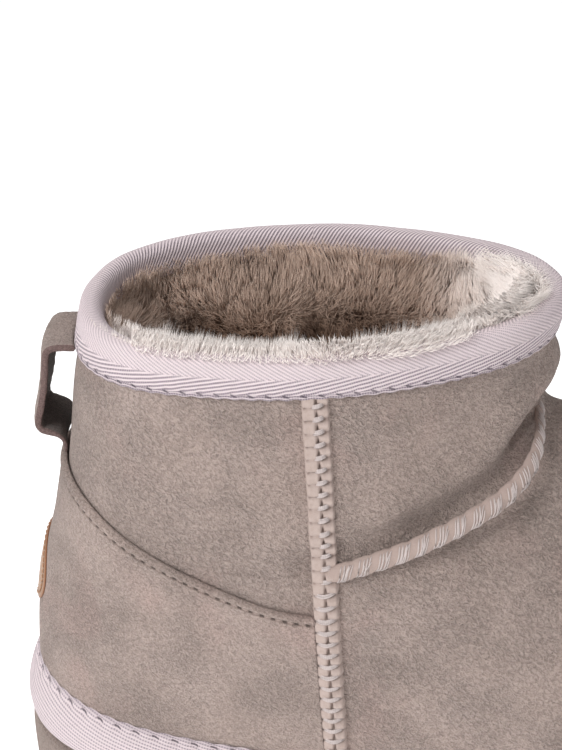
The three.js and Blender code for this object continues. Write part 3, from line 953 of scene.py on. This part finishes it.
class BOOT_OT_counter(BootOperator, bpy.types.Operator):
    """Heel counter with its turned edge and stitch row."""

    bl_idname = "boot.counter"
    bl_label = "Heel counter"

    COLUMNS = 360
    INNER_OFFSET = 0.5     # millimetres off the shell, under and over the leather
    OUTER_OFFSET = 2.1
    STITCH_DENT = 0.42

    def build(self, colours, scene):
        seams = scene.boot_seams
        skin = skin_of("upper_suede")
        edge_x = SEAM_X - 3.4 * MM
        reach = edge_x - HEEL_AXIS.x

        def end_turn(z):
            return math.pi - math.atan2(abs(skin.from_side(edge_x, z, OUTER).y), reach)

        def spot(i, z):
            """Point on the shell in column i at a height, and its direction from the heel's axis."""
            turn = math.pi + (2 * i / self.COLUMNS - 1) * end_turn(z)
            return skin.round_axis(HEEL_AXIS, turn, z), heading(turn)

        tops, feet, path = [], [], []
        for i in range(self.COLUMNS + 1):
            z = 0.11
            for _ in range(9):
                z = 0.5 * (z + read_curve(COUNTER_EDGE, spot(i, z)[0].x / MM) * MM)
            tops.append(z)
            point, away = spot(i, z - seams.counter_inset)
            path.append(point + away * (self.OUTER_OFFSET - self.STITCH_DENT) * MM)
            z = 0.058
            for _ in range(3):
                x = spot(i, z)[0].x
                z = platform_top(x) + 12.2 * MM * heel_lift(x)
            feet.append(z)
        steps = running(path)
        depths = [0, 0.08, 0.22, 0.42, 0.68, 1.0, 1.35, 1.7, 2.0, 2.25, 2.5, 2.75, 3.0, 3.3, 3.8, 4.6]
        spread = 30
        outer_rows = len(depths) + spread
        inner_rows = 8
        rows = outer_rows + inner_rows

        def height(i, j):
            drop = tops[i] - feet[i]
            if j < len(depths):
                return tops[i] - depths[j] * MM
            if j < outer_rows:
                share = (j - len(depths) + 1) / spread
                return tops[i] - depths[-1] * MM - (drop - depths[-1] * MM) * share
            share = (j - outer_rows + 1) / inner_rows
            return feet[i] + drop * share

        def place(i, j):
            j %= rows
            z = height(i, j)
            point, away = spot(i, z)
            below = (tops[i] - z) / MM
            ends = min(steps[i], steps[-1] - steps[i]) / MM
            if j >= outer_rows or i in (0, self.COLUMNS):
                offset = self.INNER_OFFSET
            else:
                close = min(below, ends + 0.001, 0.9) / 0.9
                full = self.OUTER_OFFSET - self.INNER_OFFSET
                offset = self.INNER_OFFSET + full * math.sqrt(max(0.0, 1 - (1 - close) ** 2))
                inset = seams.counter_inset / MM
                offset += 0.35 * hump(below, 1.25, 1.1) - self.STITCH_DENT * hump(below, inset, 0.75)
                beat = abs((steps[i] / seams.counter_pitch + 0.5) % 1 - 0.5)
                offset -= 0.5 * hump(below, inset, 0.6) * (1 - smooth(beat, 0.08, 0.3))
            return point + away * offset * MM

        piece = laid_grid(
            "counter_suede", self.COLUMNS, rows, place,
            lambda i, j: (steps[i], (tops[i] - height(i, min(j, rows - 1)))),
        )
        finish = suede_finish("counter_suede", colours.suede, colours, 0.8,
                              (seams.counter_pitch, seams.counter_inset))
        finish_piece(piece, "suede", finish, replaces=("heel_counter",))
        track = Track(evenly(path, 0.4 * MM), skin_of("counter_suede"), 0.4 * MM)
        runs = []
        pitch = seams.counter_pitch
        for k in range(int(track.length / pitch)):
            start = (k + 0.2) * pitch
            runs.append(([track.at(start + pitch * 0.6 * t, 0, (0.3 * math.sin(math.pi * t) - 0.16) * MM)
                          for t in (0, 0.25, 0.5, 0.75, 1)], 0.22 * MM))
        sew("counter_thread", runs, 5, thread_finish("counter_yarn", colours.suede, colours.suede_shade))


def yarn_mesh(name, runs, sides):
    """Round yarns with closed ends, each along its own points, joined in one mesh."""
    vertices, faces, cloth = [], [], []
    for points, radius in runs:
        first = len(vertices)
        travelled = 0.0
        for k, point in enumerate(points):
            before, after = points[max(0, k - 1)], points[min(len(points) - 1, k + 1)]
            forward = (after - before).normalized()
            side = forward.orthogonal().normalized()
            if abs(forward.z) < 0.98:
                side = forward.cross(Vector((0, 0, 1))).normalized()
            up = side.cross(forward)
            girth = radius * (0.55 if k in (0, len(points) - 1) else 1.0)
            if k:
                travelled += (point - points[k - 1]).length
            for s in range(sides):
                turn = 2 * math.pi * s / sides
                vertices.append(point + (side * math.cos(turn) + up * math.sin(turn)) * girth)
                cloth.append((travelled, radius * turn))
        for k in range(len(points) - 1):
            for s in range(sides):
                a, b = first + k * sides + s, first + k * sides + (s + 1) % sides
                faces.append((a, b, b + sides, a + sides))
        last = first + (len(points) - 1) * sides
        faces.append(tuple(first + s for s in reversed(range(sides))))
        faces.append(tuple(last + s for s in range(sides)))
    return mesh_piece(name, vertices, faces, cloth)


def sew(name, runs, sides, yarn):
    finish_piece(yarn_mesh(name, runs, sides), "thread", yarn)


def mesh_piece(name, vertices, faces, cloth):
    mesh = bpy.data.meshes.new(name)
    mesh.from_pydata(vertices, [], faces)
    layer = mesh.uv_layers.new(name="cloth")
    corners = [0] * len(mesh.loops)
    mesh.loops.foreach_get("vertex_index", corners)
    flat = [value for corner in corners for value in cloth[corner]]
    layer.data.foreach_set("uv", flat)
    mesh.validate()
    piece = bpy.data.objects.new(name, mesh)
    bpy.context.scene.collection.objects.link(piece)
    return piece


class BOOT_OT_badge(BootOperator, bpy.types.Operator):
    """Plain oval leather badge sewn on the heel."""

    bl_idname = "boot.badge"
    bl_label = "Heel badge"

    CENTRE_Z = 0.0905
    HEEL_RADIUS = 0.0665
    HALF_WIDTH = 15.6       # millimetres
    HALF_HEIGHT = 11.6
    STITCHES = 40
    ROW = 0.875     # the stitch row's share of the badge's size

    def build(self, colours, scene):
        skin = skin_of("counter_suede")
        # Share of the badge's size and height over the counter, from the middle round to the back.
        section = [
            (0.0, 0.75), (0.25, 0.75), (0.5, 0.74), (0.68, 0.7), (0.8, 0.66), (0.845, 0.58), (0.875, 0.5),
            (0.905, 0.58), (0.94, 0.6), (0.975, 0.52), (0.995, 0.38), (1.0, 0.2), (0.985, 0.0),
            (0.9, -0.1), (0.5, -0.1), (0.0, -0.1),
        ]
        columns, rows = 120, len(section) - 1

        def on_heel(share, turn, above):
            """Point over the heel, a turn round the oval and a share of the way out from its middle."""
            right = share * self.HALF_WIDTH * MM * math.cos(turn)
            up = share * self.HALF_HEIGHT * MM * math.sin(turn)
            bearing = math.pi + right / self.HEEL_RADIUS
            return skin.round_axis(HEEL_AXIS, bearing, self.CENTRE_Z + up) + heading(bearing) * (above * MM)

        def place(i, j):
            return on_heel(section[j][0], 2 * math.pi * (i % columns) / columns, section[j][1])

        piece = laid_grid("heel_badge", columns, rows, place,
                          lambda i, j: (i / columns * 0.1, section[j][0] * 15 * MM + 0.05 * (j > 11)))
        finish = Finish("badge_leather", 0.5, Specular_IOR_Level=0.45)
        _, out = finish.cloth()
        pores = finish.noise(1700, 3, 0.6)
        tone = finish.noise(160, 3)
        body = finish.mix(tone * 0.7 + pores * 0.3, toned(colours.badge, 0.72), colours.badge)
        finish.feed("Base Color", finish.mix(out.ramp(13.6 * MM, 15.2 * MM), body, colours.badge_edge))
        finish.feed("Roughness", pores * 0.25 + 0.38)
        finish.bump(pores, 0.12 * MM, 0.6)
        finish_piece(piece, "badge_leather", finish.material)
        runs = []
        for k in range(self.STITCHES):
            points = [on_heel(self.ROW, 2 * math.pi * (k + t) / self.STITCHES,
                              0.56 + 0.24 * math.sin(math.pi * t)) for t in (0.1, 0.3, 0.5, 0.7, 0.9)]
            runs.append((points, 0.24 * MM))
        sew("badge_thread", runs, 5, thread_finish("badge_yarn", toned(colours.badge, 1.25), colours.badge))


class BOOT_OT_pull_loop(BootOperator, bpy.types.Operator):
    """Pull loop of doubled suede at the back of the collar."""

    bl_idname = "boot.pull_loop"
    bl_label = "Pull loop"

    HALF_WIDTH = 11.6       # millimetres
    THICKNESS = 2.0
    BOW_RADIUS = 59     # of the heel that the loop bends round
    STEP = 0.55 * MM
    SKEW = 0.085    # how far the loop is twisted towards the inner side

    def build(self, colours, scene):
        path = through([Vector((x, 0, z)) * MM for x, z in LOOP_PATH], self.STEP)
        half, thick = self.HALF_WIDTH, self.THICKNESS
        section = [(-half + 0.5 + (2 * half - 1) * k / 16, 0.0) for k in range(17)]
        section += [(half - 0.12, 0.25), (half, 0.7), (half, 1.3), (half - 0.12, 1.75)]
        section += [(half - 0.5 - (2 * half - 1) * k / 16, thick) for k in range(17)]
        section += [(-half + 0.12, 1.75), (-half, 1.3), (-half, 0.7), (-half + 0.12, 0.25), section[0]]
        widths = [0.0]
        for a, b in zip(section, section[1:]):
            widths.append(widths[-1] + math.hypot(b[0] - a[0], b[1] - a[1]))
        columns, rows = len(path) - 1, len(section) - 1

        def inward(i):
            along = (path[min(columns, i + 2)] - path[max(0, i - 2)]).normalized()
            return Vector((-along.z, 0, along.x))

        def place(i, j):
            aside, depth = section[j % rows]
            if i in (0, columns):
                depth = 1.0
            tail = smooth(i / columns, 0.82, 0.93)
            depth = depth * (1 - 0.4 * tail)
            ragged = noise.noise(Vector((i * 0.35, aside * 0.8, depth * 2))) * 0.16
            aside *= 1 + 0.012 * noise.noise(Vector((i * 0.12, aside > 0, 5)))
            bow = aside * aside / (2 * self.BOW_RADIUS)
            point = path[i] + inward(i) * (depth + ragged) * MM
            return point + Vector(((bow - self.SKEW * (aside + half)) * MM, (aside + 0.9) * MM, 0))

        piece = laid_grid("loop_suede", columns, rows, place,
                          lambda i, j: (i * self.STEP, widths[j] * MM))
        suede = suede_finish("loop_suede", colours.suede, colours, 0.8)
        edge = lint_finish("loop_cut_edge", colours.strap_edge, 0.45, 2400, 0.95, Specular_IOR_Level=0.2)
        lining = lint_finish("loop_lining", colours.strap_back, 0.5, 1500, 0.98,
                             Specular_IOR_Level=0.15, Sheen_Weight=0.2)
        finish_piece(piece, "strap_suede", suede, edge, lining, replaces=("pull_loop",))
        for face in piece.data.polygons:
            side = abs(face.center.y / MM - 0.9) > half - 0.6
            middle = Vector((face.center.x, 0, face.center.z))
            i = min(range(columns), key=lambda k: (path[k] - middle).length)
            inside = face.normal.dot(inward(i)) > 0.2
            face.material_index = 1 if side else 2 if inside else 0


class BOOT_OT_seams(BootOperator, bpy.types.Operator):
    """Side seams and the instep seam with their threads."""

    bl_idname = "boot.seams"
    bl_label = "Seams"

    STEP = 0.34 * MM

    def build(self, colours, scene):
        seams = scene.boot_seams
        skin = skin_of("upper_suede")
        suede = self.seam_suede("seam_suede", colours.thread, 0.2, colours)
        cord = self.seam_suede("cord_suede", colours.tape_shade, 0.12, colours)
        yarn = thread_finish("seam_yarn", colours.thread, toned(colours.thread, 0.72))
        for side, name in ((OUTER, "outer"), (INNER, "inner")):
            foot = platform_top(SEAM_X) + 11.5 * MM
            line = [skin.from_side(SEAM_X, SEAM_TOP - k * 2 * MM, side)
                    for k in range(int((SEAM_TOP - foot) / (2 * MM)) + 1)]
            track = Track(evenly(line, self.STEP), skin, self.STEP)
            self.side_seam(track, side, name, seams, suede, yarn)
        track = Track(through(instep_points(), self.STEP), skin, self.STEP, 9 * MM)
        self.instep_seam(track, seams, cord, yarn)

    def seam_suede(self, name, rubbed, wear, colours):
        """Suede of the seams, rubbed towards a second colour, with painted shade where its cloth map marks
        slits, notches and gaps.
        """
        finish = Finish(name, 0.9, Specular_IOR_Level=0.25, Sheen_Weight=0.1)
        hole_shade, _ = finish.cloth()
        nap = finish.noise(2600, 3, 0.6)
        fold = finish.noise(700, 2, 0.5)
        worn = tuple(a + (b - a) * wear for a, b in zip(colours.suede_shade, rubbed))
        body = finish.mix((nap * 0.5 + fold * 0.6).ramp(0.25, 0.7), colours.suede_shade, worn)
        # Painted shade where the cloth map marks slits, notches and gaps between lobes.
        body = finish.mix(hole_shade, body, colours.hole_shade_colour)
        finish.feed("Base Color", body)
        finish.bump(nap * 0.5 + fold * 0.5, 0.3 * MM, 0.8)
        return finish.material

    def block_relief(self, distance, aside, pitch, junction, half):
        """Height of the side seam, and its painted shade in the slit, the notches and the gaps between lobes;
        aside grows to the toe.
        """
        beat = (distance / pitch) % 1
        lower = smooth(distance, junction - 3 * MM, junction + 3 * MM)
        w = aside / half
        left = smooth(0.02 - w, 0.0, 0.12)
        right = smooth(w, 0.12, 0.24)
        lap = abs(beat - 0.02) if beat < 0.52 else abs(beat - 1.02)
        crack = 1 - smooth(lap, 0.0, 0.10)
        puff_left = 1.15 + 0.25 * math.sin(math.pi * min(1, beat)) - 0.55 * crack
        lobe = hump(beat, 0.42, 0.47) ** 0.45 if abs(beat - 0.42) < 0.47 else 0.0
        puff_right = 0.25 + (1.25 + 0.6 * lower) * lobe
        slit_depth = 0.35 + 0.65 * hump(beat, 0.6, 0.4)
        slit = 1 - smooth(abs(w - 0.08), 0.02, 0.10)
        height = left * puff_left + right * puff_right + (1 - left - right) * 0.9
        height -= 0.75 * slit * slit_depth
        height += lower * 0.7 * (1 - w * w)
        notch = hump(beat, 0.0, 0.16) + hump(beat, 1.0, 0.16)
        # Painted shade in the slit, the notches and the low gaps between the lobes.
        hole_shade = max(0.75 * slit * slit_depth ** 3, 0.6 * notch * hump(w, -0.82, 0.22),
                   0.35 * right * (1 - lobe) * (1 - 0.6 * lower))
        return height, min(1.0, hole_shade)

    def side_seam(self, track, side, name, seams, suede, yarn):
        half = seams.side_width / 2
        pitch = seams.side_pitch
        junction = SEAM_TOP - JUNCTION_Z
        columns = int(track.length / self.STEP)
        rows = 26
        facing = -side

        def across(j):
            """Place across the seam from -1 to 1, even and drawn towards its edges."""
            share = 2 * j / rows - 1
            return share, math.copysign(abs(share) ** 0.9, share)

        def place(i, j):
            distance = i * self.STEP
            share, spread = across(j)
            height, _ = self.block_relief(distance, spread * half, pitch, junction, half)
            edge = smooth(1 - abs(share), 0.0, 0.16)
            wobble = 0.18 * noise.noise(Vector((distance * 400, share * 2, side)))
            above = (-0.55 + (height + 0.45) * edge + wobble * edge) * MM
            bulge = 1 + 0.05 * hump((distance / pitch) % 1, 0.42, 0.5) * (share > 0)
            return track.at(distance, facing * spread * half * bulge, above)

        def cloth(i, j):
            _, spread = across(j)
            return self.block_relief(i * self.STEP, spread * half, pitch, junction, half)[1], 0.5

        piece = laid_grid(f"side_seam_{name}", columns, rows, place, cloth, recalculate=False)
        apply_facing(piece)
        finish_piece(piece, "suede", suede)
        source = random.Random(7 + side)
        runs = []
        for k in range(int(track.length / pitch)):
            start = k * pitch
            lower = smooth(start, junction - 3 * MM, junction + 3 * MM)
            for strand in range(4):
                shift = (strand - 1.5) * 0.34 * MM + source.uniform(-0.08, 0.08) * MM
                reach_left = -0.28 - 0.5 * lower
                reach_right = 0.62 + 0.22 * lower
                points = []
                for t in range(7):
                    share = t / 6
                    w = reach_left + (reach_right - reach_left) * share
                    drop = (0.93 - 0.24 * share + 0.14 * lower * math.sin(math.pi * share)) * pitch
                    high = (0.35 + (1.15 + 0.75 * lower) * math.sin(math.pi * (0.12 + 0.76 * share))) * MM
                    points.append(track.at(start + drop + shift, facing * w * half, high))
                runs.append((points, 0.21 * MM))
        sew(f"side_thread_{name}", runs, 4, yarn)

    def instep_seam(self, track, seams, suede, yarn):
        half = seams.ridge_width / 2
        pitch = seams.ridge_pitch
        columns = int(track.length / self.STEP)
        rows = 20

        def section(distance, turn):
            beat = (distance / pitch) % 1
            pinch = 1 - 0.12 * hump(beat, 0.5, 0.32)
            girth = pinch * (1 + 0.05 * noise.noise(Vector((distance * 260, turn * 0.7, 2))))
            side = smooth(abs(track.at(distance).y), 16 * MM, 34 * MM)
            girth *= 0.6 + 0.4 * side
            return half * girth * math.cos(turn), (1.5 * side - 1.05 + 1.75 * girth * math.sin(turn)) * MM

        def turn_of(j):
            return math.radians(205 - 230 * j / rows)

        def place(i, j):
            distance = i * self.STEP
            aside, above = section(distance, turn_of(j))
            taper = smooth(min(distance, track.length - distance), 0.0, 3 * MM)
            return track.at(distance, aside * (0.6 + 0.4 * taper), above * (0.5 + 0.5 * taper))

        piece = laid_grid("instep_seam", columns, rows, place,
                          lambda i, j: (0.0, j / rows), recalculate=False)
        apply_facing(piece)
        finish_piece(piece, "suede", suede)
        source = random.Random(21)
        runs = []
        for k in range(int((track.length - 4 * MM) / pitch)):
            middle = 2.5 * MM + (k + 0.5) * pitch
            mirrored = 1 if middle < track.length / 2 else -1
            for strand in range(7):
                loose = strand > 4
                shift = (strand - 2.6) * 0.52 * MM + source.uniform(-0.1, 0.1) * MM
                start = source.uniform(162, 176) if not loose else source.uniform(120, 165)
                stop = source.uniform(48, 78) if strand % 2 else source.uniform(25, 50)
                points = []
                for t in range(9):
                    turn = math.radians(start + (stop - start) * t / 8)
                    slant = (t / 8 - 0.5) * 3.2 * MM * mirrored
                    at = middle + shift + slant
                    aside, above = section(at, turn)
                    points.append(track.at(at, aside * 1.03, above + 0.10 * MM))
                runs.append((points, 0.20 * MM if not loose else 0.16 * MM))
        sew("instep_thread", runs, 4, yarn)


def apply_facing(piece):
    """Turns an open strip's faces away from the middle of the boot."""
    mesh = piece.data
    middle = Vector((-0.045, 0, 0.1))
    total = sum((f.normal.dot(f.center - middle) > 0) * 2 - 1 for f in mesh.polygons)
    if total < 0:
        mesh.flip_normals()


class BOOT_OT_wool(BootOperator, bpy.types.Operator):
    """Wool pile of the lining, in locks that lean and part."""

    bl_idname = "boot.wool"
    bl_label = "Wool pile"

    HEEL_X = -0.078         # the heel's wool ends here
    FOOT_X, FOOT_Z = 0.03, 0.055    # the wool goes no further along the foot, and no lower
    SIGHT_Z = 0.128         # above it the wool shows, and stands close
    EDGE_TOP = 0.1745       # top of the wool: on the skin's upper edge,
    FRONT_TOP, FRONT_X = 0.1712, -0.015     # on the front of the opening,
    WALL_TOP = 0.1685       # and on the rest of the wall
    FRINGE_Z = 0.1705       # wool lies over the tape above this height
    TAPE_HEM = (0.1690, 0.1725)     # heights of the tape's inner edge, where wool comes out

    def build(self, colours, scene):
        wool = scene.boot_wool
        finish = wool_finish("wool_pile", colours, pile=True)
        upper = bpy.data.objects["upper_suede"].data
        beds = {"wool_heel": [], "wool_outer": [], "wool_inner": [], "wool_below": []}

        def bed_of(centre):
            side = "wool_outer" if centre.y < 0 else "wool_inner"
            return beds["wool_heel" if centre.x < self.HEEL_X else side]

        for face in upper.polygons:
            centre = face.center
            top = self.FRONT_TOP if centre.x > self.FRONT_X else self.WALL_TOP
            if face.normal.z > 0.3:
                top = self.EDGE_TOP
            if face.material_index != 1 or not self.FOOT_Z < centre.z < top or centre.x > self.FOOT_X:
                continue
            if centre.z > self.SIGHT_Z:
                bed_of(centre).append((face, wool.collar_count, "wall"))
            else:
                beds["wool_below"].append((face, wool.deep_count, "deep"))
        for face in bpy.data.objects["fleece_insole"].data.polygons:
            if face.normal.z > 0.5:
                beds["wool_below"].append((face, wool.deep_count * 0.8, "deep"))
        for face in bpy.data.objects["collar_tape"].data.polygons:
            inward = inward_at(face.center)
            crowd = mound(inward)
            limit = 0.4 - 1.1 * smooth(inward.y, 0.8, 0.97)
            count = 0.0
            if face.center.z > self.FRINGE_Z and crowd > 0.05:
                count = (3.5 + 1.6 * smooth(-inward.x, 0.25, 0.8)) * crowd * crowd
            if face.normal.dot(inward) > 0.4 and self.TAPE_HEM[0] < face.center.z < self.TAPE_HEM[1]:
                count = max(count, 1.8)
            if count and face.normal.dot(inward) > limit:
                bed_of(face.center).append((face, count, "fringe"))
        for seed, (name, faces) in enumerate(beds.items()):
            source = random.Random(100 + seed)
            vertices, strands, cloth = [], [], []
            for face, count, zone in faces:
                mesh = face.id_data
                corners = [mesh.vertices[v].co for v in face.vertices]
                wanted = face.area / (MM * MM) * count
                for _ in range(int(wanted + source.random())):
                    self.wisp(corners, face.normal, wool, zone, source, vertices, strands, cloth)
            finish_piece(mesh_piece(name, vertices, strands, cloth), "wool", finish)

    def wisp(self, corners, normal, wool, zone, source, vertices, strands, cloth):
        """One wisp: a bent spindle from the skin towards the end of its lock."""
        a, b = source.random(), source.random()
        if len(corners) == 4:
            root = corners[0].lerp(corners[1], a).lerp(corners[3].lerp(corners[2], a), b)
        else:
            root = corners[0].lerp(corners[1], a).lerp(corners[2], b)
        inward = inward_at(root) if zone == "fringe" else normal
        crowd = mound(inward_at(root))
        rim = 1.0 if zone == "fringe" else smooth(root.z, 0.146, 0.165)
        centre = noise.voronoi(root / wool.lock)[1][0] * wool.lock
        field = root * 34
        sway = Vector((noise.noise(field), noise.noise(field + Vector((9, 0, 0))),
                       0.7 * noise.noise(field + Vector((0, 9, 0)))))
        lift = (1.15 + 0.15 * crowd) * rim - 0.35 * (1 - rim)
        lean = sway * 1.2 + Vector((0, 0, lift))
        size = wool.pile * (0.82 + 0.3 * source.random()) * (1 + 0.55 * crowd * rim)
        size *= 0.9 + 0.5 * noise.noise(root * 110)
        if zone == "deep":
            size *= 1.2
        if zone == "fringe":
            toe = smooth(-inward.x, 0.25, 0.8)
            size *= 0.5 + 0.62 * toe
            lean.z += 0.35 - 0.8 * toe
            over = smooth(-normal.dot(inward), -0.35, 0.4)
            inward = inward.lerp(-inward, over)
            lean.z *= 1 - 0.6 * over
            size *= 1 - 0.25 * over
        first = (inward + lean * 0.5 + jitter(source, 0.16)).normalized()
        gather = (centre - root) * 0.24
        middle = root + first * size * 0.5 + gather * 0.35
        turn_in = 0.45 if zone != "fringe" or over > 0.3 else 0.45 - 1.1 * crowd * source.random()
        second = (inward * turn_in + lean * 1.0 + jitter(source, 0.3)).normalized()
        tip = middle + second * size * 0.55 + gather * 0.5
        for point in (middle, tip):
            point.z -= 0.75 * max(0.0, point.z - COLLAR_TOP - 4.5 * MM)
        along = (tip - root).normalized()
        side = along.cross(jitter(source, 1.0)).normalized()
        other = along.cross(side)
        girth = wool.strand * (2.4 if zone == "deep" else 1.0) * source.uniform(0.7, 1.3)
        base = len(vertices)
        vertices.append(root - normal * 0.4 * MM)
        for turn in (0.0, 2.094, 4.189):
            vertices.append(middle + (side * math.cos(turn) + other * math.sin(turn)) * girth)
        vertices.append(tip)
        shade = 0.5 + 0.5 * noise.noise(centre * 900)
        cloth.extend([(shade, 0.0), (shade, 0.55), (shade, 0.55), (shade, 0.55), (shade, 1.0)])
        for k in range(3):
            left, right = base + 1 + k, base + 1 + (k + 1) % 3
            strands.append((base, right, left))
            strands.append((left, right, base + 4))


def inward_at(point):
    """Level direction from the collar to the middle of the opening."""
    middle = min(max(point.x, -0.072), -0.018)
    return Vector((middle - point.x, -point.y, 0)).normalized()


def mound(inward):
    """How thickly the wool stands at the collar: fullest on the outer side and the front."""
    return smooth(0.45 + 0.8 * inward.y - 0.65 * inward.x, 0.0, 1.0)


def jitter(source, reach):
    return Vector(source.uniform(-reach, reach) for _ in range(3))


class BOOT_PT_pieces(bpy.types.Panel):
    """Pieces, sizes and colours of the boot."""

    bl_idname = "BOOT_PT_pieces"
    bl_label = "Boot"
    bl_space_type = "VIEW_3D"
    bl_region_type = "UI"
    bl_category = "Boot"

    def draw(self, context):
        for place in GROUPS:
            group = getattr(context.scene, place)
            column = self.layout.column(align=True)
            for name in group.bl_rna.properties.keys():
                if name not in ("rna_type", "name"):
                    column.prop(group, name)
        for operator in OPERATORS:
            self.layout.operator(operator.bl_idname)


GROUPS = {"boot_colours": BootColours, "boot_seams": BootSeams,
          "boot_tapes": BootTapes, "boot_wool": BootWool}
OPERATORS = (BOOT_OT_stage, BOOT_OT_upper, BOOT_OT_collar_tape, BOOT_OT_sole, BOOT_OT_counter,
             BOOT_OT_badge, BOOT_OT_pull_loop, BOOT_OT_seams, BOOT_OT_wool)
CLASSES = (*GROUPS.values(), *OPERATORS, BOOT_PT_pieces)


def register():
    for entry in CLASSES:
        bpy.utils.register_class(entry)
    for name, group in GROUPS.items():
        setattr(bpy.types.Scene, name, bpy.props.PointerProperty(type=group))


def unregister():
    for name in GROUPS:
        delattr(bpy.types.Scene, name)
    for entry in reversed(CLASSES):
        bpy.utils.unregister_class(entry)


def main():
    register()
    bpy.ops.boot.stage()
    bpy.ops.boot.upper()
    bpy.ops.boot.collar_tape()
    bpy.ops.boot.sole()
    bpy.ops.boot.counter()
    bpy.ops.boot.badge()
    bpy.ops.boot.pull_loop()
    bpy.ops.boot.seams()
    bpy.ops.boot.wool()


if __name__ == "__main__":
    main()
